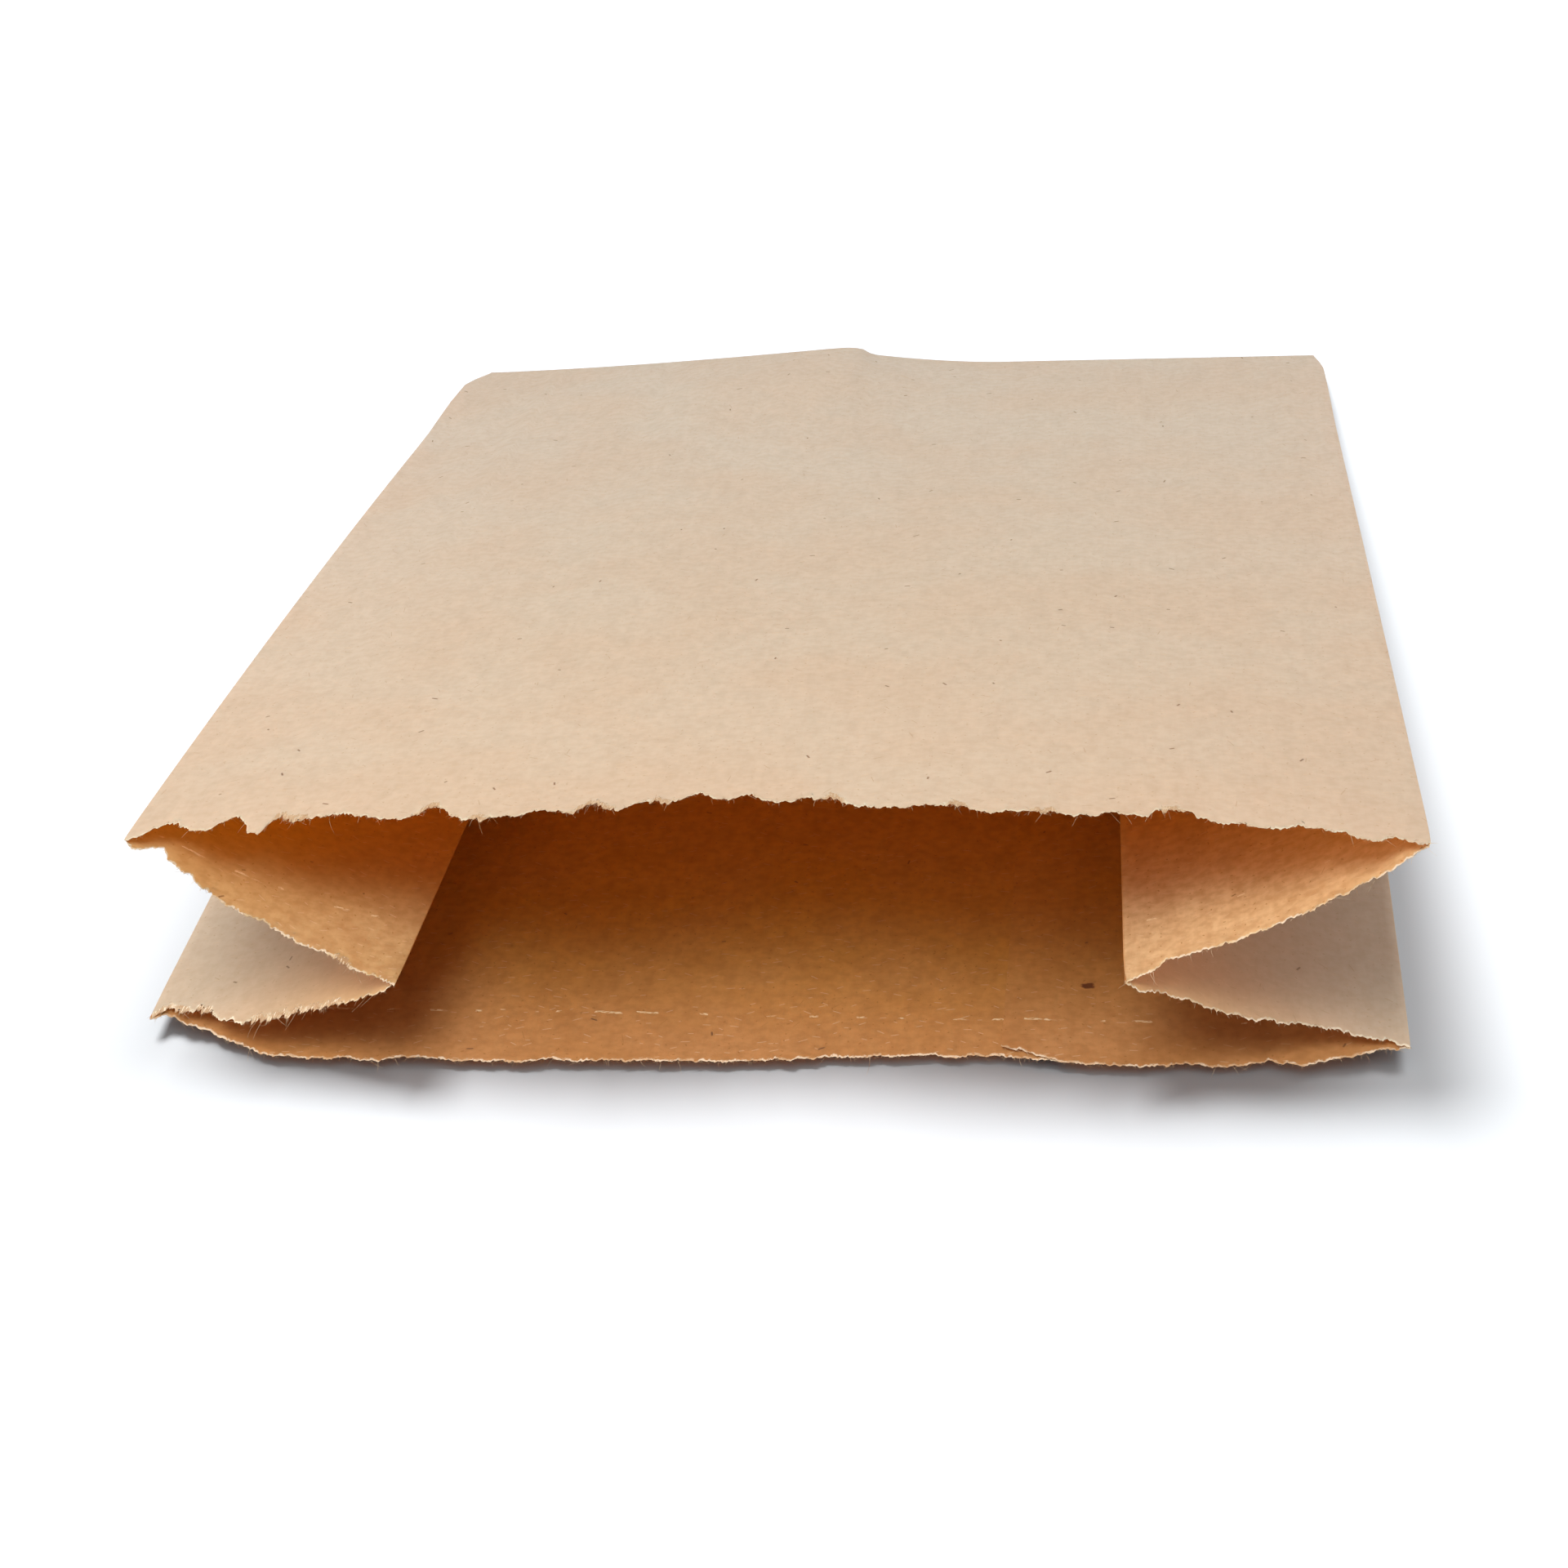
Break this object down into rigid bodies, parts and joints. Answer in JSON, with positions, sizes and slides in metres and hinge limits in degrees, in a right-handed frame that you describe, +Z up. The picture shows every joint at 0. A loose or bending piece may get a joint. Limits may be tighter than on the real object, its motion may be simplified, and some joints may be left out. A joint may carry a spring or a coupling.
{
  "type": "flat paper bag",
  "caption": "Flat kraft paper bag with tucked side gussets, a lap seam down its back and a folded bottom, lying on its back with its torn mouth propped open.",
  "frame": {"origin": "middle of the underside of the bag's box, on the surface that it lies on", "axes": "+X across the bag, +Y from the open mouth to the bottom crease, +Z up from the back panel to the front panel"},
  "size_m": [0.2, 0.245, 0.045],
  "materials": {
    "kraft_paper": "matte unbleached kraft"
  },
  "bodies": {
    "root": {"paper_bag": "kraft_paper"}
  },
  "joints": []
}
